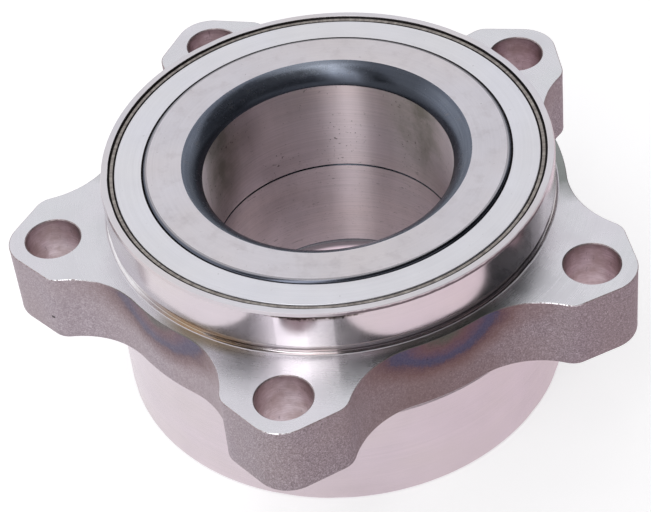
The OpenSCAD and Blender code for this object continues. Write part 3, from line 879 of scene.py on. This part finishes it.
def rubber():
    """Matt black rubber of the seal lips."""
    p = Paint("seal_rubber", (0.02, 0.02, 0.022), 0.0, 0.55, specular=0.4)
    grain = p.noise(3.0, 4, 0.6)
    p.paint(p.mix(p.between(grain, 0.3, 0.7), (0.014, 0.014, 0.016), (0.04, 0.038, 0.04)))
    p.rough(grain, 0.48, 0.66)
    p.set("Normal", p.bump(grain, 0.01))
    return p.material


def painted_gap_shade():
    """Painted shade: near black in the narrow corner between the seal case and its seat, and on the flinger's
    inner chamfer.
    """
    p = Paint("gap_shade", (0.012, 0.010, 0.010), 0.0, 0.6, specular=0.2)
    grain = p.noise(2.0, 4, 0.6)
    p.paint(p.mix(p.between(grain, 0.35, 0.75), (0.008, 0.007, 0.007), (0.035, 0.028, 0.026)))
    p.rough(grain, 0.5, 0.8)
    p.set("Normal", p.bump(grain, 0.01))
    return p.material


def cage_plastic():
    """Moulded nylon of the cages, with faint flow marks."""
    p = Paint("cage_plastic", (0.5, 0.4, 0.24), 0.0, 0.5, specular=0.45)
    grain = p.noise(1.6, 5, 0.7)
    flow = p.noise(0.12, 3, 0.5)
    tone = p.mix(p.between(flow, 0.3, 0.7), (0.46, 0.36, 0.21), (0.55, 0.45, 0.28))
    p.paint(p.mix(p.between(grain, 0.4, 0.7, 0, 0.4), tone, (0.38, 0.29, 0.16)))
    p.rough(grain, 0.44, 0.6)
    p.set("Normal", p.bump(grain, 0.008))
    return p.material


def case_steel():
    """Pressed sheet rim, olive and beige, with fine stripes across the drawing direction."""
    p = Paint("case_steel", (0.38, 0.34, 0.30), 1.0, 0.42)
    stripes = p.noise(1.0, 3, 0.6, vector=p.ring_vector(p.z, 0.4, 45.0))
    fine = p.noise(1.0, 4, 0.6, vector=p.ring_vector(p.radius, 6.0, 2.0))
    tone = p.ramp(p.between(stripes, 0.3, 0.7),
                  [(0.0, (0.17, 0.15, 0.145)), (0.5, (0.30, 0.272, 0.255)), (1.0, (0.45, 0.42, 0.385))])
    p.paint(p.mix(p.between(fine, 0.4, 0.7, 0, 0.3), tone, (0.2, 0.17, 0.15)))
    p.rough(stripes, 0.36, 0.5)
    p.set("Normal", p.bump(fine, 0.002))
    return p.material


def broken_edge():
    """The flange's upper edge: brown and torn by the cutter, with bright smeared burrs in a few places,
    painted as highlights.
    """
    p = Paint("broken_edge", (0.40, 0.33, 0.34), 1.0, 0.42)
    torn = p.noise(1.4, 3, 0.6)
    outside = p.between(p.radius, 62.0, 63.0)
    # Painted highlight: bright burrs in a few places on the lobes' outer edges
    glint_places = p.sector(-92, -87.5, 0.5)
    for start, end in ((-151, -145.5), (-35, -28.5)):
        glint_places = p.math("MAXIMUM", glint_places, p.sector(start, end, 0.5))
    burr_and_painted_glint = p.times(glint_places, outside, p.between(torn, 0.38, 0.5))
    dull = p.mix(p.between(torn, 0.35, 0.65), (0.30, 0.235, 0.235), (0.52, 0.45, 0.46))
    heat, strong = heat_of(p)
    dull = p.mix(p.times(p.between(heat, 0.9, 1.5, 0.9, 0.0), strong), dull, (0.12, 0.12, 0.11))
    p.paint(p.mix(burr_and_painted_glint, dull, (0.92, 0.91, 0.93)))
    p.set("Roughness", p.between(burr_and_painted_glint, 0, 1, 0.5, 0.22))
    p.set("Normal", p.bump(torn, 0.03))
    return p.material


def flinger():
    """Pressed flat of the flinger, satin with tiny handling marks."""
    p = turned_steel("flinger_steel", (0.74, 0.735, 0.785), 0.42, 2.2, 0.2, blotch=0.03,
                     tint=(1.0, 0.99, 0.96))
    marks = p.between(p.noise(0.9, 3, 0.6), 0.70, 0.74)
    p.paint(p.mix(p.times(marks, 0.5), p.tone, (0.30, 0.27, 0.27)))
    return p.material


def end_face():
    """Ground end face of an inner ring, with faint clouds of oil and tiny pits."""
    p = turned_steel("end_face", (0.67, 0.645, 0.69), 0.46, 3.0, 0.2, blotch=0.04)
    clouds = p.between(p.noise(0.25, 4, 0.65), 0.5, 0.72)
    tone = p.mix(p.times(clouds, 0.35), p.tone, (0.44, 0.40, 0.42))
    marks = p.between(p.noise(1.2, 3, 0.6), 0.71, 0.75)
    p.paint(p.mix(p.times(marks, 0.6), tone, (0.22, 0.19, 0.19)))
    return p.material


raceway = turned_steel("raceway", (0.62, 0.60, 0.62), 0.22, 2.0, 0.5, across="z").material
roller_steel = turned_steel("roller_steel", (0.68, 0.67, 0.70), 0.15, 1.0, 0.2, across="z").material
clip_steel = turned_steel("clip_steel", (0.36, 0.35, 0.36), 0.35, 1.0, 0.2, across="z").material
rib_steel = turned_steel("rib_steel", STEEL, 0.3, 3.0, 0.6, across="z").material

outer_ring([flange_face(), ground_steel(), forged_steel(), undercut_steel(), hole_steel(), raceway,
            broken_edge(), lip_steel(), lead_in_steel()])
ring_materials = [bore_steel(), end_face(), black_oxide(), rib_steel, raceway, rib_corner_steel()]
case_materials = [case_steel(), painted_gap_shade()]
flinger_materials = [flinger(), case_materials[S_SHADE]]
for down in (False, True):
    revolved("inner_ring", inner_ring_profile(), ring_materials, "hub_rings", down)
    revolved("flinger", flinger_profile(), flinger_materials, "hub_rings", down)
    revolved("seal_case", seal_case_profile(), case_materials, "housing", down)

# Nodes that keep their CAD mesh, by the start of their names
node_materials = {"roller": roller_steel, "cage": cage_plastic(), "seal_lip": rubber(),
                  "inner_ring_clip": clip_steel}
for name, obj in nodes.items():
    for start, material in node_materials.items():
        if name.startswith(start):
            if not obj.material_slots:
                obj.data.materials.append(material)
            for holder in obj.material_slots:
                holder.material = material


# Camera: the photograph's view, found by fitting the visible rims
FOCAL_PIXELS = 2217.46
PHOTO_WIDTH = 651
SENSOR_MM = 36
ELEVATION = math.radians(43.512)
ROLL = math.radians(-6.773)
TURN = math.radians(13.557)
RIGHT_MM, UP_MM, BACK_MM = 1.209, 15.904, 543.159

camera_data = bpy.data.cameras.new("camera")
camera_data.sensor_width = SENSOR_MM
camera_data.lens = FOCAL_PIXELS * SENSOR_MM / PHOTO_WIDTH
camera_data.clip_start = 0.01
camera = bpy.data.objects.new("camera", camera_data)
bpy.context.scene.collection.objects.link(camera)
spin = Matrix.Rotation(TURN, 3, "Z")
right = spin @ Vector((1, 0, 0))
ahead = spin @ Vector((0, math.cos(ELEVATION), -math.sin(ELEVATION)))
upward = right.cross(ahead)
basis = Matrix((right, upward, -ahead)).transposed() @ Matrix.Rotation(ROLL, 3, "Z")
camera.matrix_world = Matrix.Translation((basis.col[2] * BACK_MM - basis.col[0] * RIGHT_MM
                                          - basis.col[1] * UP_MM) * MM) @ basis.to_4x4()
bpy.context.scene.camera = camera


# Studio: a pale floor, even surroundings that fade to the right, one tall soft lamp at the camera's left
# and dark cards that only the steel's reflections show
FLOOR_HALF = 3.0
# The floor lies this many millimetres under the part
FLOOR_DROP = 0.05
FLOOR_COLOUR = (0.52, 0.51, 0.52)
# Glow of the floor in the camera's view and in reflections, and its share in the shade under the part
FLOOR_SHOWN = 0.66
FLOOR_GLOW = 0.58
FLOOR_SHADE = 0.2
# Tints of the floor inside the spigot, and of its reflections at the left and the right of the part,
# which are full this many millimetres aside
FLOOR_INSIDE = (1.0, 0.78, 0.88)
FLOOR_LEFT = (0.98, 0.94, 0.965)
FLOOR_RIGHT = (0.98, 0.79, 0.86)
TINT_REACH = 80
# Radii between which the floor is in the part's shade
SHADE_IN = BORE_R + 2
SHADE_OUT = SPIGOT_R - 6
CARD_REACH = 0.75
CARD_STEPS = 8
MATT = {"metallic": 0.0, "roughness": 0.9, "specular": 0.1}
WORLD_COLOUR = (0.98, 0.985, 1.0)
WORLD_LEVEL = 1.0
# The horizon's level at the camera's left and right, how far aside these lie, and the heights between
# which it fades into the even sky, all as parts of a unit vector
HORIZON_LEFT = 0.95
HORIZON_RIGHT = 0.05
HORIZON_SIDE = 0.9
HORIZON_LOW = 0.1
HORIZON_HIGH = 0.5


def floor_material():
    """Pale floor; only the camera and reflections see its glow, so it lights nothing."""
    p = Paint("studio_floor", FLOOR_COLOUR, **MATT)
    seen = p.node("ShaderNodeLightPath").outputs
    outside = p.between(p.radius, SHADE_OUT, SPIGOT_R)
    under = p.between(p.radius, SHADE_IN, SHADE_IN + 1, 1, FLOOR_SHADE)
    glow = p.math("MAXIMUM", p.times(seen["Is Camera Ray"], FLOOR_SHOWN),
                  p.times(seen["Is Glossy Ray"], FLOOR_GLOW))
    p.set("Emission Strength", p.times(glow, p.math("MAXIMUM", under, outside)))
    sideways = p.node("ShaderNodeVectorMath")
    sideways.operation = "DOT_PRODUCT"
    p.put(sideways.inputs[0], p.place)
    p.put(sideways.inputs[1], right)
    mirrored = p.mix(p.between(sideways.outputs["Value"], -TINT_REACH, TINT_REACH), FLOOR_LEFT, FLOOR_RIGHT)
    plain = p.mix(outside, FLOOR_INSIDE, (1, 1, 1))
    p.set("Emission Color", p.mix(seen["Is Glossy Ray"], plain, mirrored))
    return p.material


def stage_mesh(name, corners, faces, material):
    mesh = bpy.data.meshes.new(name)
    mesh.from_pydata([tuple(c) for c in corners], [], faces)
    mesh.materials.append(material)
    obj = bpy.data.objects.new(name, mesh)
    bpy.context.scene.collection.objects.link(obj)
    return obj


def direction(azimuth, elevation):
    """Unit vector of a direction given in degrees, in the photograph's frame."""
    a, e = math.radians(azimuth), math.radians(elevation)
    return spin @ Vector((math.cos(a) * math.cos(e), math.sin(a) * math.cos(e), math.sin(e)))


def curved_card(name, azimuths, elevations, colour):
    """Part of a sphere round the object, seen in its reflections but not by the camera."""
    corners = [direction(a, e) * CARD_REACH for a in np.linspace(*azimuths, CARD_STEPS + 1)
               for e in np.linspace(*elevations, CARD_STEPS + 1)]
    faces = []
    for i in range(CARD_STEPS):
        for j in range(CARD_STEPS):
            at = i * (CARD_STEPS + 1) + j
            faces.append((at, at + 1, at + CARD_STEPS + 2, at + CARD_STEPS + 1))
    card = stage_mesh(name, corners, faces, Paint(name, colour, **MATT).material)
    card.visible_camera = False
    card.visible_shadow = False


def soft_lamp(name, azimuth, elevation, distance, size, power):
    data = bpy.data.lights.new(name, "AREA")
    data.shape = "RECTANGLE"
    data.size, data.size_y = size
    data.energy = power
    obj = bpy.data.objects.new(name, data)
    towards = direction(azimuth, elevation)
    obj.location = towards * distance
    obj.rotation_mode = "QUATERNION"
    obj.rotation_quaternion = towards.to_track_quat("Z", "Y")
    bpy.context.scene.collection.objects.link(obj)


floor_corners = [(x * FLOOR_HALF, y * FLOOR_HALF, 0) for x, y in ((-1, -1), (1, -1), (1, 1), (-1, 1))]
floor = stage_mesh("studio_floor", floor_corners, [(0, 1, 2, 3)], floor_material())
floor.location.z = (BOTTOM_Z - FLOOR_DROP) * MM
curved_card("card_right", (-28, 30), (14, 74), (0.02, 0.02, 0.025))
curved_card("card_front", (-98, -28), (22, 76), (0.07, 0.065, 0.065))
curved_card("card_left", (-158, -129), (26, 74), (0.06, 0.055, 0.05))
soft_lamp("key_lamp", azimuth=-118, elevation=49, distance=1.2, size=(0.42, 1.6), power=3.75)

# The world is even overhead and falls off to the right near the horizon
world = bpy.data.worlds.new("studio")
world.use_nodes = True
tree = world.node_tree


def world_node(kind, **values):
    made = tree.nodes.new(kind)
    for key, value in values.items():
        made.inputs[key.replace("_", " ")].default_value = value
    return made


view_line = world_node("ShaderNodeTexCoord").outputs["Generated"]
height = world_node("ShaderNodeSeparateXYZ")
aside = world_node("ShaderNodeVectorMath")
aside.operation = "DOT_PRODUCT"
aside.inputs[1].default_value = right
horizon = world_node("ShaderNodeMapRange", From_Min=-HORIZON_SIDE, From_Max=HORIZON_SIDE,
                     To_Min=HORIZON_LEFT, To_Max=HORIZON_RIGHT)
fade = world_node("ShaderNodeMapRange", From_Min=HORIZON_LOW, From_Max=HORIZON_HIGH, To_Max=WORLD_LEVEL)
sky = tree.nodes["Background"]
sky.inputs["Color"].default_value = (*WORLD_COLOUR, 1)
for source, target in ((view_line, height.inputs[0]), (height.outputs["Z"], fade.inputs["Value"]),
                       (view_line, aside.inputs[0]), (aside.outputs["Value"], horizon.inputs["Value"]),
                       (horizon.outputs["Result"], fade.inputs["To Min"]),
                       (fade.outputs["Result"], sky.inputs["Strength"])):
    tree.links.new(source, target)
bpy.context.scene.world = world
bpy.context.scene.view_settings.view_transform = "Standard"
